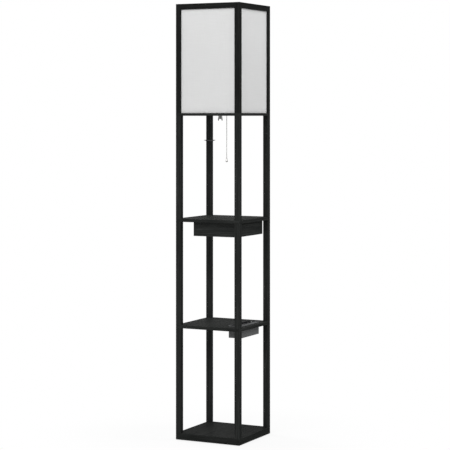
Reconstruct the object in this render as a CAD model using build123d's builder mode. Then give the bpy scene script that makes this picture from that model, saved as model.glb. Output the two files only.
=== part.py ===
from build123d import *
import math
import os

os.makedirs("parts", exist_ok=True)

# Shelf floor lamp, in millimetres. +Z is up and -Y is the front, where the drawer
# opens. The origin lies on the floor, under the middle of the lamp.

# ------------------------------------------------------------------ frame sizes
frame_width = 260.0  # left to right and front to back, over the posts
post_size = 20.0
edge_round = 0.8  # upright edges of posts and boards
edge_ease = 0.5  # sanded edges round the boards' faces
pad_thickness = 2.0
pad_diameter = 24.0
pad_inset = 30.0  # from the board's edges to the pad's centre
post_seat = 1.0  # depth of the milled seats in which the posts stand on the boards
base_thickness = 24.0
lower_post_length = 385.0
shelf_thickness = 12.0
middle_post_length = 378.0
upper_post_length = 377.0
ring_thickness = 10.0  # the flat frame under the shade
shade_post_length = 400.0
top_rail_height = 21.0
top_rail_depth = 15.0

# Fastenings of the frame
stud_diameter = 6.0
stud_length = 50.0
insert_diameter = 9.0
insert_length = 15.0
bore_spare = 2.0  # empty depth past the end of a stud or bolt
bolt_reach = 16.0  # into the lower posts
bolt_head_diameter = 12.0
rail_dowel_diameter = 6.0
rail_dowel_length = 20.0
rail_dowel_in_post = 8.0
ring_dowel_diameter = 4.0
ring_dowel_length = 16.0
ring_dowel_inset = 16.0  # from the frame's outside to the dowel's axis
fit_gap = 0.1  # round a pin, stud or screw in its hole
seat_gap = 0.3  # between pieces that only just clear each other

# ------------------------------------------------------------------ shade panels
panel_thickness = 1.6
panel_inset = 5.5  # from the posts' outer faces
panel_groove_depth = 3.0
panel_slack = 0.2  # on each side of the panel in its groove

# ------------------------------------------------------------------ lamp socket
socket_y = 13.2  # the bar crosses a little behind the middle
bar_width = 20.0
bar_thickness = 2.0
bar_overlap = 8.0  # of the bar's ends on the frame under the shade
bar_screw_diameter = 3.0
bar_screw_length = 9.0
bar_screw_head = 6.0
tube_diameter = 10.0  # hollow threaded tube
tube_bore = 7.2
tube_below_ring_top = 22.0
tube_in_cap = 8.0
nut_across_flats = 14.0
nut_height = 4.0
wing_hub_diameter = 13.0
wing_hub_height = 10.0
wing_span = 17.0
wing_elbow = 21.0  # from the bar to where the wings reach their full span
wing_drop = 28.4  # from the bar to the wings' tips
wing_thickness = 3.2
wing_tip_round = 1.2
wing_tip_width = 2.4
wing_gap = 7.4  # between the wings, below the tube's end
wing_turn = -63.8  # where the nut came to rest, in degrees about its axis
cap_radius = 17.0
cap_height = 24.0
cap_corner = 8.0
cap_wall = 1.5
shell_wall = 1.0
shell_lap = 4.5  # of the shell inside the cap
shell_top_above_cap = 36.0
shell_lip = 1.0
block_height = 22.7
terminal_pocket_width = 10.0
terminal_pocket_depth = 5.0
sleeve_wall = 0.6
sleeve_height = 24.0
contact_diameter = 7.0
contact_height = 2.6
port_height = 14.0  # of the chain and cord openings over the cap's base
bushing_bore = 6.4
bushing_neck = 9.2
bushing_flange = 12.0
bushing_flange_thickness = 2.0

# Bulb
bulb_cap_radius = 13.0
bulb_cap_height = 25.0
bulb_tip_radius = 4.5
bulb_neck_radius = 13.4
bulb_housing_height = 38.0
bulb_housing_radius = 28.0
globe_centre_height = 12.0  # over the housing
globe_wall = 1.5

# Pull chain
chain_reach = 26.8  # from the socket's axis forward to the chain
guide_radius = 4.2
guide_bore = 4.4
guide_drop = 10.0  # below the openings' axis
guide_rise = 6.0
guide_stub_radius = 3.0
guide_mouth = 0.8
bead_diameter = 3.2
bead_pitch = 4.2
bead_count = 43
link_diameter = 1.1
chain_in_guide = 11.0  # of the chain's top above the guide's mouth
bell_length = 18.0
bell_neck_radius = 1.8
bell_radius = 4.2

# ------------------------------------------------------------------ drawer
drawer_inset = 20.0  # behind the frame's front
drawer_post_gap = 5.0  # to the posts on each side
drawer_depth = 179.5
drawer_height = 50.2
drawer_top_gap = 1.5
drawer_front_thickness = 15.0
drawer_side_thickness = 8.0
drawer_back_thickness = 5.0
drawer_bottom_thickness = 3.0
drawer_bottom_raise = 6.0
bottom_groove_depth = 3.5
back_groove_depth = 2.0
drawer_travel = 100.0
drawer_dowel_diameter = 5.0
drawer_dowel_length = 18.0
drawer_dowel_in_front = 8.0
drawer_pin_heights = (16.0, 27.0)  # of dowels and screws over the drawer's lower edge
drawer_screw_diameter = 3.0
drawer_screw_head = 6.0
drawer_screw_length = 25.0

# Runners
runner_drop = 14.5  # from the shelf to the runner's lower edge
runner_web = 3.0
runner_flange_width = 15.5
runner_flange_thickness = 3.0
runner_lip_height = 4.0
runner_lip_reach = 3.5
runner_side_gap = 0.5
slide_gap = 0.3
runner_screw_diameter = 3.0
runner_screw_head = 6.0
runner_screw_length = 11.0
runner_screw_pitch = 60.0
runner_screw_count = 3
stop_diameter = 2.4
stop_pin_diameter = 1.8  # of the end held in the runner
stop_drop = 8.0
stop_hold = 3.5

# ------------------------------------------------------------------ charging station
station_width = 151.0
station_depth = 51.0
station_drop = 31.0  # below the shelf
station_inset = 20.0  # behind the frame's front
station_wall = 2.0
station_corner = 2.6
station_edge = 1.0
rim_bearing = 4.0  # of the housing's rim on the shelf round the cut-out
plate_margin = 2.0
plate_thickness = 2.5
plate_sink = 1.0  # depth of the rebate round the cut-out in which the plate lies
plate_corner = 6.0
plate_edge = 0.8
skirt_gap = 0.4
skirt_wall = 1.6
skirt_depth = 6.0
boss_diameter = 8.0
boss_inset = 13.0  # from the housing's ends
plate_screw_diameter = 3.0
plate_screw_head = 6.0
plate_screw_length = 20.0
outlet_x = -34.0
outlet_width = 34.0
outlet_depth = 28.0
outlet_corner = 4.0
outlet_proud = 1.0
outlet_body = 20.0
outlet_flange = 2.0
outlet_flange_thickness = 3.0
outlet_slot_depth = 14.0
blade_pitch = 12.7
blade_width = 2.0
hot_blade_length = 6.6
neutral_blade_length = 8.0
blade_offset = 5.0  # of the blades behind the outlet's middle
ground_offset = -6.9
ground_radius = 2.4
aperture_gap = 0.2
usb_x = (8.0, 36.0)
usb_width = 13.2
usb_height = 5.8
usb_wall = 0.4
usb_depth = 14.0
usb_tongue_width = 11.1
usb_tongue_thickness = 1.9
usb_tongue_sink = 3.0  # below the plate's face
board_width = 54.0
board_depth = 34.0
board_thickness = 1.6
standoff_diameter = 5.0
standoff_inset = 5.0
grommet_x = 50.0
grommet_raise = 12.0  # over the housing's underside

# ------------------------------------------------------------------ cord cleat
cleat_drop = 101.7  # from the frame under the shade down to the cleat
cleat_band = 2.2
cleat_height = 3.4
cleat_flare = 0.6  # rise of the prongs' roots over the band
cleat_long_prong = 18.0
cleat_short_prong = 10.3
cleat_tip = 0.8  # height of the prongs' tips

# ------------------------------------------------------------------ levels and places
base_bottom = pad_thickness
base_top = base_bottom + base_thickness
charging_bottom = base_top + lower_post_length
charging_top = charging_bottom + shelf_thickness
drawer_shelf_bottom = charging_top + middle_post_length
drawer_shelf_top = drawer_shelf_bottom + shelf_thickness
ring_bottom = drawer_shelf_top + upper_post_length
ring_top = ring_bottom + ring_thickness
frame_top = ring_top + shade_post_length
rail_bottom = frame_top - top_rail_height

frame_edge = frame_width / 2
post_face = frame_edge - post_size  # inner faces of the posts
post_centre = frame_edge - post_size / 2
post_pitch = 2 * post_centre
post_gap = 2 * post_face  # clear width between two posts

stud_reach = (stud_length - min(shelf_thickness, ring_thickness)) / 2
post_bore_depth = max(stud_reach, bolt_reach) + bore_spare
bolt_length = base_thickness + bolt_reach
groove_width = panel_thickness + 2 * panel_slack
groove_line = frame_edge - panel_inset - panel_thickness / 2  # middle of a panel
groove_end = post_face + panel_groove_depth
plate_bottom = charging_top - plate_sink
rail_line = frame_edge - top_rail_depth / 2
rail_middle = rail_bottom + top_rail_height / 2
ring_middle = ring_bottom + ring_thickness / 2
ring_dowel_line = frame_edge - ring_dowel_inset

corners = [(x, y) for x in (-1, 1) for y in (-1, 1)]


# ------------------------------------------------------------------ shared shapes
def save(piece, name):
    """Labels a finished sub-part and writes its file."""
    piece.label = name
    export_step(piece, f"parts/{name}.step")


def block(low, high, mode=Mode.ADD):
    """A square-cut block between two opposite corners, in the sub-part being made."""
    size = [end - start for start, end in zip(low, high)]
    with Locations(low):
        Box(*size, align=(Align.MIN, Align.MIN, Align.MIN), mode=mode)


def hole(start, direction, radius, depth):
    """A round hole from a point on a face into the piece, along a direction."""
    outward = tuple(-value for value in direction)
    with Locations(Plane(origin=start, z_dir=outward)):
        Hole(radius, depth)


def pin(start, direction, radius, length):
    """A round pin from a point along a direction, in the sub-part being made."""
    with Locations(Plane(origin=start, z_dir=direction)):
        Cylinder(radius, length, align=(Align.CENTER, Align.CENTER, Align.MIN))


def sink(start, direction, diameter, head_diameter, depth):
    """A countersunk hole for a flat-headed screw, from the face the head is flush with."""
    outward = tuple(-value for value in direction)
    with Locations(Plane(origin=start, z_dir=outward)):
        CounterSinkHole(
            diameter / 2 + fit_gap, head_diameter / 2 + fit_gap, depth, counter_sink_angle=90
        )


def flat_screw(diameter, length, head_diameter):
    """A flat-headed screw, its head's face on XY and its shank along +Z."""
    radius = diameter / 2
    head_radius = head_diameter / 2
    with BuildPart() as screw:
        with BuildSketch(Plane.XZ):
            with BuildLine():
                Polyline(
                    (0, 0),
                    (head_radius, 0),
                    (radius, head_radius - radius),
                    (radius, length),
                    (0, length),
                    close=True,
                )
            make_face()
        revolve(axis=Axis.Z)
    return screw.part


def ease_faces(piece, length):
    """Sanded edges round the upper and lower face of the board being made."""
    edges = piece.faces().sort_by(Axis.Z)[0].outer_wire().edges()
    edges += piece.faces().sort_by(Axis.Z)[-1].outer_wire().edges()
    chamfer(edges, length=length)


def cut_post_seats(level):
    """Shallow seats for the posts in the corners of the board being made, from its top."""
    seat_size = post_size + 2 * fit_gap
    with BuildSketch(Plane.XY.offset(level)) as seats:
        with GridLocations(post_pitch, post_pitch, 2, 2):
            RectangleRounded(seat_size, seat_size, edge_round + fit_gap)
    extrude(seats.sketch, amount=-post_seat, mode=Mode.SUBTRACT)


def make_posts(level, length):
    """Four equal posts that stand in one board's seats, bored at both ends for inserts."""
    with BuildPart() as posts:
        with BuildSketch(Plane.XY.offset(level - post_seat)):
            with GridLocations(post_pitch, post_pitch, 2, 2):
                RectangleRounded(post_size, post_size, edge_round)
        extrude(amount=length + post_seat)
        for x, y in corners:
            spot = (x * post_centre, y * post_centre)
            bore = insert_diameter / 2 + fit_gap
            hole((*spot, level - post_seat), (0, 0, 1), bore, post_bore_depth + post_seat)
            hole((*spot, level + length), (0, 0, -1), bore, post_bore_depth)
    return posts.part


# ------------------------------------------------------------------ base and posts
with BuildPart() as foot_pads:
    with BuildSketch():
        with GridLocations(frame_width - 2 * pad_inset, frame_width - 2 * pad_inset, 2, 2):
            Circle(pad_diameter / 2)
    extrude(amount=pad_thickness)
save(foot_pads.part, "foot_pads")

with BuildPart() as base_board:
    with BuildSketch(Plane.XY.offset(base_bottom)):
        RectangleRounded(frame_width, frame_width, edge_round)
    extrude(amount=base_thickness)
    ease_faces(base_board, edge_ease)
    cut_post_seats(base_top)
    for x, y in corners:
        start = (x * post_centre, y * post_centre, base_bottom)
        sink(start, (0, 0, 1), stud_diameter, bolt_head_diameter, base_thickness)
save(base_board.part, "base_board")

base_bolt = flat_screw(stud_diameter, bolt_length, bolt_head_diameter)
with BuildPart() as base_bolts:
    with Locations(Plane.XY.offset(base_bottom)):
        with GridLocations(post_pitch, post_pitch, 2, 2):
            add(base_bolt)
save(base_bolts.part, "base_bolts")

save(make_posts(base_top, lower_post_length), "lower_posts")
save(make_posts(charging_top, middle_post_length), "middle_posts")
save(make_posts(drawer_shelf_top, upper_post_length), "upper_posts")

# One threaded stud at each corner of both shelves and of the frame under the shade.
stud_middles = (
    charging_bottom + shelf_thickness / 2,
    drawer_shelf_bottom + shelf_thickness / 2,
    ring_middle,
)
with BuildPart() as joint_studs:
    for level in stud_middles:
        with BuildSketch(Plane.XY.offset(level)):
            with GridLocations(post_pitch, post_pitch, 2, 2):
                Circle(stud_diameter / 2)
        extrude(amount=stud_length / 2, both=True)
    chamfer(joint_studs.edges().filter_by(GeomType.CIRCLE), length=stud_diameter / 10)
save(joint_studs.part, "joint_studs")

# The inserts sit flush in the ends of the posts, and the studs and bolts screw in.
insert_starts = (
    base_top - post_seat,
    charging_bottom - insert_length,
    charging_top - post_seat,
    drawer_shelf_bottom - insert_length,
    drawer_shelf_top - post_seat,
    ring_bottom - insert_length,
    ring_top,
)
with BuildPart() as post_inserts:
    for level in insert_starts:
        with BuildSketch(Plane.XY.offset(level)):
            with GridLocations(post_pitch, post_pitch, 2, 2):
                Circle(insert_diameter / 2)
                Circle(stud_diameter / 2 + fit_gap, mode=Mode.SUBTRACT)
        extrude(amount=insert_length)
save(post_inserts.part, "post_inserts")

# ------------------------------------------------------------------ shelves
station_front = -frame_edge + station_inset
station_rear = station_front + station_depth
station_middle = (station_front + station_rear) / 2
station_bottom = charging_bottom - station_drop
cutout_width = station_width - 2 * rim_bearing
cutout_depth = station_depth - 2 * rim_bearing
plate_width = station_width + 2 * plate_margin
plate_depth = station_depth + 2 * plate_margin

drawer_half = post_face - drawer_post_gap
drawer_front_face = -frame_edge + drawer_inset
drawer_rear_face = drawer_front_face + drawer_depth
drawer_top = drawer_shelf_bottom - drawer_top_gap
drawer_low = drawer_top - drawer_height
box_front = drawer_front_face + drawer_front_thickness  # inner face of the front
box_rear = drawer_rear_face - drawer_back_thickness  # inner face of the back
box_half = drawer_half - drawer_side_thickness  # inner faces of the sides

web_outer = box_half - runner_side_gap
web_inner = web_outer - runner_web
flange_inner = web_outer - runner_flange_width
lip_tip = web_outer + runner_lip_reach
runner_bottom = drawer_shelf_bottom - runner_drop
lip_top = runner_bottom + runner_lip_height
flange_bottom = drawer_shelf_bottom - runner_flange_thickness
runner_front = box_front + slide_gap
runner_rear = box_rear - slide_gap
runner_middle = (runner_front + runner_rear) / 2
runner_screw_x = (flange_inner + web_inner) / 2
runner_first_screw_y = runner_middle - (runner_screw_count - 1) / 2 * runner_screw_pitch
runner_screw_spots = [
    (side * runner_screw_x, runner_first_screw_y + number * runner_screw_pitch)
    for side in (-1, 1)
    for number in range(runner_screw_count)
]


def make_shelf(level):
    """A square board with a stud hole at each corner, as the part being made."""
    with BuildSketch(Plane.XY.offset(level)) as outline:
        RectangleRounded(frame_width, frame_width, edge_round)
    extrude(outline.sketch, amount=shelf_thickness)


with BuildPart() as charging_shelf:
    make_shelf(charging_bottom)
    ease_faces(charging_shelf, edge_ease)
    cut_post_seats(charging_top)
    for x, y in corners:
        start = (x * post_centre, y * post_centre, charging_bottom)
        hole(start, (0, 0, 1), stud_diameter / 2 + seat_gap, shelf_thickness)
    with BuildSketch(Plane.XY.offset(charging_bottom)):
        with Locations((0, station_middle)):
            RectangleRounded(cutout_width, cutout_depth, station_corner)
    extrude(amount=shelf_thickness, mode=Mode.SUBTRACT)
    with BuildSketch(Plane.XY.offset(charging_top)):
        with Locations((0, station_middle)):
            RectangleRounded(
                plate_width + 2 * seat_gap, plate_depth + 2 * seat_gap, plate_corner + seat_gap
            )
    extrude(amount=-plate_sink, mode=Mode.SUBTRACT)
save(charging_shelf.part, "charging_shelf")

with BuildPart() as drawer_shelf:
    make_shelf(drawer_shelf_bottom)
    ease_faces(drawer_shelf, edge_ease)
    cut_post_seats(drawer_shelf_top)
    for x, y in corners:
        start = (x * post_centre, y * post_centre, drawer_shelf_bottom)
        hole(start, (0, 0, 1), stud_diameter / 2 + seat_gap, shelf_thickness)
    pilot_depth = runner_screw_length - runner_flange_thickness + seat_gap
    for x, y in runner_screw_spots:
        hole((x, y, drawer_shelf_bottom), (0, 0, 1), runner_screw_diameter / 2 + fit_gap, pilot_depth)
save(drawer_shelf.part, "drawer_shelf")

# ------------------------------------------------------------------ frame under the shade
bar_half = post_face + bar_overlap
bar_screw_x = post_face + bar_overlap / 2
bar_top = ring_top + bar_thickness
ring_dowel_in_rail = ring_dowel_length / 2

with BuildPart() as ring_long_rails:
    for side in (-1, 1):
        outer = side * frame_edge
        inner = side * post_face
        with BuildSketch(Plane.XY.offset(ring_bottom)):
            with Locations((0, side * post_centre)):
                RectangleRounded(frame_width, post_size, edge_round)
        extrude(amount=ring_thickness)
        groove_low = side * groove_line - groove_width / 2
        block(
            (-groove_end, groove_low, ring_top - panel_groove_depth),
            (groove_end, groove_low + groove_width, ring_top),
            mode=Mode.SUBTRACT,
        )
        for end in (-1, 1):
            hole(
                (end * post_centre, side * post_centre, ring_bottom),
                (0, 0, 1),
                stud_diameter / 2 + seat_gap,
                ring_thickness,
            )
            hole(
                (end * ring_dowel_line, inner, ring_middle),
                (0, side, 0),
                ring_dowel_diameter / 2 + fit_gap,
                ring_dowel_in_rail + fit_gap,
            )
            groove_side = end * groove_line - groove_width / 2
            groove_start, groove_stop = sorted((inner, side * groove_end))
            block(
                (groove_side, groove_start, ring_top - panel_groove_depth),
                (groove_side + groove_width, groove_stop, ring_top),
                mode=Mode.SUBTRACT,
            )
save(ring_long_rails.part, "ring_long_rails")

with BuildPart() as ring_short_rails:
    for side in (-1, 1):
        with BuildSketch(Plane.XY.offset(ring_bottom)):
            with Locations((side * post_centre, 0)):
                Rectangle(post_size, post_gap)
        extrude(amount=ring_thickness)
        groove_low = side * groove_line - groove_width / 2
        block(
            (groove_low, -post_face, ring_top - panel_groove_depth),
            (groove_low + groove_width, post_face, ring_top),
            mode=Mode.SUBTRACT,
        )
        hole(
            (side * bar_screw_x, socket_y, ring_top),
            (0, 0, -1),
            bar_screw_diameter / 2 + fit_gap,
            bar_screw_length - bar_thickness + seat_gap,
        )
        for end in (-1, 1):
            hole(
                (side * ring_dowel_line, end * post_face, ring_middle),
                (0, -end, 0),
                ring_dowel_diameter / 2 + fit_gap,
                ring_dowel_in_rail + fit_gap,
            )
save(ring_short_rails.part, "ring_short_rails")

# ------------------------------------------------------------------ shade posts and rails
corner_names = {-1: ("left", "front"), 1: ("right", "rear")}
for x, y in corners:
    with BuildPart() as shade_post:
        with BuildSketch(Plane.XY.offset(ring_top)):
            with Locations((x * post_centre, y * post_centre)):
                RectangleRounded(post_size, post_size, edge_round)
        extrude(amount=shade_post_length)
        start = (x * post_centre, y * post_centre, ring_top)
        hole(start, (0, 0, 1), insert_diameter / 2 + fit_gap, post_bore_depth)
        groove_top = rail_bottom + panel_groove_depth
        face_start, face_end = sorted((x * post_face, x * groove_end))
        low = y * groove_line - groove_width / 2
        block((face_start, low, ring_top), (face_end, low + groove_width, groove_top), Mode.SUBTRACT)
        face_start, face_end = sorted((y * post_face, y * groove_end))
        low = x * groove_line - groove_width / 2
        block((low, face_start, ring_top), (low + groove_width, face_end, groove_top), Mode.SUBTRACT)
        dowel_radius = rail_dowel_diameter / 2 + fit_gap
        dowel_depth = rail_dowel_in_post + fit_gap
        hole((x * post_face, y * rail_line, rail_middle), (x, 0, 0), dowel_radius, dowel_depth)
        hole((x * rail_line, y * post_face, rail_middle), (0, y, 0), dowel_radius, dowel_depth)
    save(shade_post.part, f"shade_post_{corner_names[y][1]}_{corner_names[x][0]}")

# The four top rails are alike, so one is made at the front and turned to each side.
with BuildPart() as top_rail:
    block((-post_face, -frame_edge, rail_bottom), (post_face, -frame_edge + top_rail_depth, frame_top))
    chamfer(top_rail.edges().filter_by(Axis.X), length=edge_ease)
    low = -groove_line - groove_width / 2
    block(
        (-post_face, low, rail_bottom),
        (post_face, low + groove_width, rail_bottom + panel_groove_depth),
        mode=Mode.SUBTRACT,
    )
    for end in (-1, 1):
        hole(
            (end * post_face, -rail_line, rail_middle),
            (-end, 0, 0),
            rail_dowel_diameter / 2 + fit_gap,
            rail_dowel_length - rail_dowel_in_post + fit_gap,
        )
with BuildPart() as top_rails:
    with PolarLocations(0, 4):
        add(top_rail.part)
save(top_rails.part, "top_rails")

with BuildPart() as frame_dowels:
    for turn in range(4):
        along = (math.cos(turn * math.pi / 2), math.sin(turn * math.pi / 2))
        across = (along[1], -along[0])
        for end in (-1, 1):
            start = post_face + rail_dowel_in_post
            spot = [end * start * a + rail_line * c for a, c in zip(along, across)]
            direction = (-end * along[0], -end * along[1], 0)
            pin((*spot, rail_middle), direction, rail_dowel_diameter / 2, rail_dowel_length)
    for x, y in corners:
        spot = (x * ring_dowel_line, y * (post_face + ring_dowel_in_rail), ring_middle)
        pin(spot, (0, -y, 0), ring_dowel_diameter / 2, ring_dowel_length)
save(frame_dowels.part, "frame_dowels")

# ------------------------------------------------------------------ shade panels
# Fabric bonded to a stiff translucent sheet, slipped into the grooves.
panel_half = groove_end - seat_gap
panel_low = ring_top - panel_groove_depth + seat_gap
panel_high = rail_bottom + panel_groove_depth - seat_gap
for name, x, y in (("front", 0, -1), ("rear", 0, 1), ("left", -1, 0), ("right", 1, 0)):
    half_x = panel_thickness / 2 if x else panel_half
    half_y = panel_thickness / 2 if y else panel_half
    middle = (x * groove_line, y * groove_line)
    with BuildPart() as shade_panel:
        block(
            (middle[0] - half_x, middle[1] - half_y, panel_low),
            (middle[0] + half_x, middle[1] + half_y, panel_high),
        )
    save(shade_panel.part, f"shade_panel_{name}")

# ------------------------------------------------------------------ socket bar
with BuildPart() as socket_bar:
    with BuildSketch(Plane.XY.offset(ring_top)):
        with Locations((0, socket_y)):
            SlotOverall(2 * bar_half, bar_width)
            Circle(tube_diameter / 2 + fit_gap, mode=Mode.SUBTRACT)
    extrude(amount=bar_thickness)
    for side in (-1, 1):
        start = (side * bar_screw_x, socket_y, bar_top)
        sink(start, (0, 0, -1), bar_screw_diameter, bar_screw_head, bar_thickness)
save(socket_bar.part, "socket_bar")

bar_screw = flat_screw(bar_screw_diameter, bar_screw_length, bar_screw_head)
with BuildPart() as bar_screws:
    for side in (-1, 1):
        with Locations(Plane(origin=(side * bar_screw_x, socket_y, bar_top), z_dir=(0, 0, -1))):
            add(bar_screw)
save(bar_screws.part, "bar_screws")

# ------------------------------------------------------------------ socket
# The threaded tube holds the cap on the bar, between a hexagon nut and the wing nut.
cap_base = bar_top
cap_floor = cap_base + cap_wall
cap_rim = cap_base + cap_height
tube_bottom = ring_top - tube_below_ring_top
tube_top = cap_base + tube_in_cap
port_level = cap_base + port_height
socket_axis = Axis((0, socket_y, 0), (0, 0, 1))


def socket_plane(level):
    """Upright plane through the socket's axis, its origin on the axis at a level."""
    return Plane(origin=(0, socket_y, level), x_dir=(1, 0, 0), z_dir=(0, -1, 0))


def ring(level, outer_radius, inner_radius, height):
    """An upright tube on the socket's axis, in the sub-part being made."""
    with BuildSketch(Plane((0, socket_y, level))) as outline:
        Circle(outer_radius)
        Circle(inner_radius, mode=Mode.SUBTRACT)
    extrude(outline.sketch, amount=height)


with BuildPart() as threaded_tube:
    ring(tube_bottom, tube_diameter / 2, tube_bore / 2, tube_top - tube_bottom)
save(threaded_tube.part, "threaded_tube")

with BuildPart() as tube_nut:
    with BuildSketch(Plane((0, socket_y, cap_floor))):
        RegularPolygon(nut_across_flats / 2, 6, major_radius=False)
        Circle(tube_diameter / 2 + fit_gap, mode=Mode.SUBTRACT)
    extrude(amount=nut_height)
save(tube_nut.part, "tube_nut")

hub_radius = wing_hub_diameter / 2
wing_root = tube_diameter / 2 + fit_gap
wing_throat = tube_below_ring_top + seat_gap  # depth of the nut's bore, just past the tube's end
wing_tip = wing_span / 2 - wing_tip_round
turn = math.radians(wing_turn)
wing_plane = Plane(
    origin=(0, socket_y, ring_top),
    x_dir=(math.cos(turn), math.sin(turn), 0),
    z_dir=(math.sin(turn), -math.cos(turn), 0),
)
with BuildPart() as wing_nut:
    with BuildSketch(wing_plane):
        for side in (-1, 1):
            with BuildLine():
                Polyline(
                    (side * wing_gap / 2, -wing_thickness),
                    (side * hub_radius, -wing_thickness),
                    (side * hub_radius, -wing_hub_height),
                    (side * wing_span / 2, -wing_elbow),
                    (side * wing_span / 2, -wing_drop + 2 * wing_tip_round),
                    (side * wing_tip, -wing_drop),
                    (side * (wing_tip - wing_tip_width), -wing_drop),
                    (side * wing_gap / 2, -wing_throat),
                    close=True,
                )
            make_face()
    extrude(amount=wing_thickness / 2, both=True)
    ring(ring_top - wing_hub_height, hub_radius, wing_root, wing_hub_height)
    with Locations(Plane((0, socket_y, ring_top))):
        Hole(wing_root, wing_throat)
save(wing_nut.part, "wing_nut")

with BuildPart() as socket_cap:
    with BuildSketch(socket_plane(cap_base)):
        with BuildLine():
            Line((tube_diameter / 2 + fit_gap, 0), (cap_radius - cap_corner, 0))
            RadiusArc((cap_radius - cap_corner, 0), (cap_radius, cap_corner), -cap_corner)
            Polyline(
                (cap_radius, cap_corner),
                (cap_radius, cap_height),
                (cap_radius - cap_wall, cap_height),
                (cap_radius - cap_wall, cap_corner),
            )
            RadiusArc(
                (cap_radius - cap_wall, cap_corner),
                (cap_radius - cap_corner, cap_wall),
                cap_corner - cap_wall,
            )
            Polyline(
                (cap_radius - cap_corner, cap_wall),
                (tube_diameter / 2 + fit_gap, cap_wall),
                (tube_diameter / 2 + fit_gap, 0),
            )
        make_face()
    revolve(axis=socket_axis)
    hole((0, socket_y - cap_radius, port_level), (0, 1, 0), guide_stub_radius + fit_gap, cap_radius / 2)
    hole((cap_radius, socket_y, port_level), (-1, 0, 0), bushing_neck / 2 + fit_gap, cap_radius / 2)
save(socket_cap.part, "socket_cap")

shell_radius = cap_radius - cap_wall - panel_slack
shell_bottom = cap_rim - shell_lap
shell_top = cap_rim + shell_top_above_cap
with BuildPart() as socket_shell:
    ring(shell_bottom, shell_radius, shell_radius - shell_wall, shell_top - shell_bottom)
    ring(shell_top - 2 * shell_lip, shell_radius + shell_lip, shell_radius - shell_wall, 2 * shell_lip)
save(socket_shell.part, "socket_shell")

block_radius = shell_radius - shell_wall - panel_slack
block_bottom = tube_top + seat_gap
block_top = block_bottom + block_height
with BuildPart() as switch_block:
    with BuildSketch(Plane((0, socket_y, block_bottom))):
        Circle(block_radius)
    extrude(amount=block_height)
    half_pocket = terminal_pocket_width / 2
    block(
        (block_radius - terminal_pocket_depth, socket_y - half_pocket, port_level - half_pocket),
        (cap_radius, socket_y + half_pocket, port_level + half_pocket),
        mode=Mode.SUBTRACT,
    )
save(switch_block.part, "switch_block")

sleeve_radius = block_radius - fit_gap
with BuildPart() as screw_sleeve:
    ring(block_top, sleeve_radius, sleeve_radius - sleeve_wall, sleeve_height)
save(screw_sleeve.part, "screw_sleeve")

with BuildPart() as centre_contact:
    with BuildSketch(Plane((0, socket_y, block_top))):
        Circle(contact_diameter / 2)
    extrude(amount=contact_height)
    fillet(centre_contact.faces().sort_by(Axis.Z)[-1].edges(), radius=contact_height / 2)
save(centre_contact.part, "centre_contact")

# A rubber bushing lines the hole where the supply cord enters the cap.
bushing_inner = block_radius + seat_gap
bushing_outer = cap_radius + bushing_flange_thickness
with BuildPart() as inlet_bushing:
    with BuildSketch(Plane(origin=(bushing_inner, socket_y, port_level), z_dir=(1, 0, 0))):
        Circle(bushing_neck / 2)
        Circle(bushing_bore / 2, mode=Mode.SUBTRACT)
    extrude(amount=bushing_outer - bushing_inner)
    with BuildSketch(Plane(origin=(cap_radius, socket_y, port_level), z_dir=(1, 0, 0))):
        Circle(bushing_flange / 2)
        Circle(bushing_neck / 2, mode=Mode.SUBTRACT)
    extrude(amount=bushing_flange_thickness)
save(inlet_bushing.part, "inlet_bushing")

# ------------------------------------------------------------------ bulb
bulb_base = block_top + contact_height + seat_gap
housing_base = bulb_base + bulb_cap_height
globe_base = housing_base + bulb_housing_height
globe_radius = math.hypot(bulb_housing_radius, globe_centre_height)
with BuildPart() as bulb_cap:
    with BuildSketch(socket_plane(bulb_base)):
        with BuildLine():
            Polyline(
                (0, 0),
                (bulb_tip_radius, 0),
                (bulb_tip_radius, 2),
                (bulb_cap_radius - 1, 5.5),
                (bulb_cap_radius, 6.5),
                (bulb_cap_radius, bulb_cap_height),
                (0, bulb_cap_height),
                close=True,
            )
        make_face()
    revolve(axis=socket_axis)
save(bulb_cap.part, "bulb_cap")

with BuildPart() as bulb_housing:
    with BuildSketch(socket_plane(housing_base)):
        with BuildLine():
            Polyline(
                (0, bulb_housing_height),
                (0, 0),
                (bulb_neck_radius, 0),
                (bulb_neck_radius + 1, 3),
            )
            Spline(
                (bulb_neck_radius + 1, 3),
                (bulb_housing_radius - 4, bulb_housing_height - 12),
                (bulb_housing_radius, bulb_housing_height),
            )
            Line((bulb_housing_radius, bulb_housing_height), (0, bulb_housing_height))
        make_face()
    revolve(axis=socket_axis)
save(bulb_housing.part, "bulb_housing")

with BuildPart() as bulb_globe:
    with BuildSketch(socket_plane(globe_base)):
        with Locations((0, globe_centre_height)):
            Circle(globe_radius)
            Circle(globe_radius - globe_wall, mode=Mode.SUBTRACT)
        with Locations((0, 0)):
            Rectangle(
                globe_radius, 3 * globe_radius, align=(Align.MIN, Align.MIN), mode=Mode.INTERSECT
            )
    revolve(axis=socket_axis)
save(bulb_globe.part, "bulb_globe")

# ------------------------------------------------------------------ pull chain
chain_y = socket_y - chain_reach
guide_bottom = port_level - guide_drop
guide_top = port_level + guide_rise
chain_axis = Axis((0, chain_y, 0), (0, 0, 1))
with BuildPart() as chain_guide:
    with BuildSketch(Plane((0, chain_y, guide_bottom))):
        Circle(guide_radius)
    extrude(amount=guide_top - guide_bottom)
    fillet(chain_guide.faces().sort_by(Axis.Z)[-1].edges(), radius=guide_radius * 0.9)
    pin(
        (0, chain_y, port_level),
        (0, 1, 0),
        guide_stub_radius,
        chain_reach - block_radius - seat_gap,
    )
    hole((0, chain_y, guide_bottom), (0, 0, 1), guide_bore / 2, chain_in_guide + link_diameter)
    mouth = chain_guide.faces().sort_by(Axis.Z)[0].inner_wires()[0].edges()
    chamfer(mouth, length=guide_mouth)
save(chain_guide.part, "chain_guide")

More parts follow.
